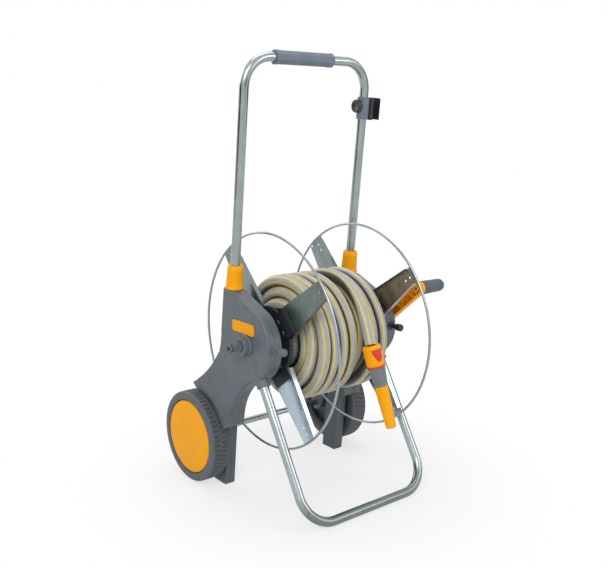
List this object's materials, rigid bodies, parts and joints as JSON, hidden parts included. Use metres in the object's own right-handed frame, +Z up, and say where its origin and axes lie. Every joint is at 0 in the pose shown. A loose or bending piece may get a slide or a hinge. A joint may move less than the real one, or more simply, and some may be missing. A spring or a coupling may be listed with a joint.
{
  "type": "garden hose reel cart",
  "caption": "Wheeled garden hose reel cart: sliding tube handle, bent-tube stand, side housings, crank-wound drum with wire side rings, coiled hose and nozzle.",
  "frame": {"origin": "on the floor, under the centre of the overall box", "axes": "+X along the drum axis towards the crank, +Y from the stand towards the wheels, +Z up"},
  "size_m": [0.4764, 0.4754, 0.9033],
  "materials": {
    "housing_plastic": "fine spark-textured dark blue-grey moulding",
    "yellow_plastic": "satin orange-yellow moulding",
    "tube_steel": "bright zinc-plated steel tube",
    "sheet_steel": "bright zinc-plated steel sheet",
    "wire_steel": "zinc-plated steel wire",
    "fastener_steel": "zinc-plated fasteners",
    "grip_plastic": "soft slate-grey grip plastic",
    "black_plastic": "black moulding",
    "tyre_plastic": "dark grey ribbed tread moulding",
    "wheel_plastic": "dark grey wheel moulding",
    "hose_pvc": "grey woven-pattern PVC hose with yellow stripes",
    "sleeve_plastic": "ribbed mid-grey moulding",
    "red_plastic": "red moulded band",
    "seal_rubber": "black rubber seal"
  },
  "bodies": {
    "chassis": {"housing_left_inner": "housing_plastic", "housing_left_outer": "housing_plastic", "housing_right_inner": "housing_plastic", "housing_right_outer": "housing_plastic", "housing_screws": "fastener_steel", "badge_left": "yellow_plastic", "peg_left": "housing_plastic", "peg_right": "housing_plastic", "strut_left": "housing_plastic", "strut_right": "housing_plastic", "stand_tube": "tube_steel", "stand_socket_left": "housing_plastic", "stand_socket_right": "housing_plastic", "axle": "tube_steel", "axle_nuts": "fastener_steel", "bearing_left": "black_plastic", "bearing_right": "black_plastic", "inlet_boss": "housing_plastic", "inlet_nipple": "black_plastic", "inlet_seal": "seal_rubber"},
    "handle": {"handle_tube": "tube_steel", "handle_grip": "grip_plastic", "clip_clamp": "grip_plastic", "clip_cradle": "black_plastic"},
    "clip_knob": {"clip_screw": "black_plastic"},
    "left_collar": {"collar_left": "yellow_plastic"},
    "right_collar": {"collar_right": "yellow_plastic"},
    "drum": {"hub_left": "black_plastic", "hub_right": "black_plastic", "spoke_left_1": "sheet_steel", "spoke_left_2": "sheet_steel", "spoke_left_3": "sheet_steel", "spoke_left_4": "sheet_steel", "spoke_right_1": "sheet_steel", "spoke_right_2": "sheet_steel", "spoke_right_3": "sheet_steel", "spoke_right_4": "sheet_steel", "ring_left": "wire_steel", "ring_right": "wire_steel", "spoke_rivets": "fastener_steel", "drum_core": "sheet_steel", "drum_shaft": "fastener_steel", "outlet_pipe": "black_plastic", "hose_coil": "hose_pvc", "hose_tail": "hose_pvc", "connector_body": "yellow_plastic", "connector_band": "red_plastic", "nozzle_sleeve": "sleeve_plastic", "crank_arm": "yellow_plastic", "crank_bolt": "fastener_steel", "crank_pin": "fastener_steel"},
    "nozzle_twist": {"nozzle_barrel": "yellow_plastic"},
    "crank_handle": {"crank_grip": "grip_plastic"},
    "left_wheel": {"rim_left": "wheel_plastic", "tyre_left": "tyre_plastic", "cap_left": "yellow_plastic"},
    "right_wheel": {"rim_right": "wheel_plastic", "tyre_right": "tyre_plastic", "cap_right": "yellow_plastic"}
  },
  "joints": [
    {"name": "handle_slide", "type": "slide", "parent": "chassis", "child": "handle", "axis": [0, -0.0915, 0.9958], "range_m": [-0.2, 0]},
    {"name": "left_collar_lock", "type": "hinge", "parent": "chassis", "child": "left_collar", "pos_m": [-0.17585, 0.04726, 0.45807], "axis": [0, -0.0915, 0.9958], "range_deg": [0, 120]},
    {"name": "right_collar_lock", "type": "hinge", "parent": "chassis", "child": "right_collar", "pos_m": [0.13615, 0.04726, 0.45807], "axis": [0, -0.0915, 0.9958], "range_deg": [0, 120]},
    {"name": "drum_spin", "type": "hinge", "parent": "chassis", "child": "drum", "pos_m": [-0.01985, -0.01525, 0.331], "axis": [1, 0, 0], "continuous": true},
    {"name": "crank_grip_spin", "type": "hinge", "parent": "drum", "child": "crank_handle", "pos_m": [0.20515, -0.13744, 0.42308], "axis": [1, 0, 0], "continuous": true},
    {"name": "nozzle_twist", "type": "hinge", "parent": "drum", "child": "nozzle_twist", "pos_m": [0.01731, -0.19451, 0.22765], "axis": [0.1378, -0.238, -0.9614], "range_deg": [0, 180]},
    {"name": "left_wheel_spin", "type": "hinge", "parent": "chassis", "child": "left_wheel", "pos_m": [-0.21485, 0.13975, 0.1], "axis": [1, 0, 0], "continuous": true},
    {"name": "right_wheel_spin", "type": "hinge", "parent": "chassis", "child": "right_wheel", "pos_m": [0.17515, 0.13975, 0.1], "axis": [1, 0, 0], "continuous": true},
    {"name": "clip_screw_turn", "type": "hinge", "parent": "handle", "child": "clip_knob", "pos_m": [0.13615, 0.01587, 0.79963], "axis": [-1, 0, 0], "range_deg": [0, 360]}
  ]
}
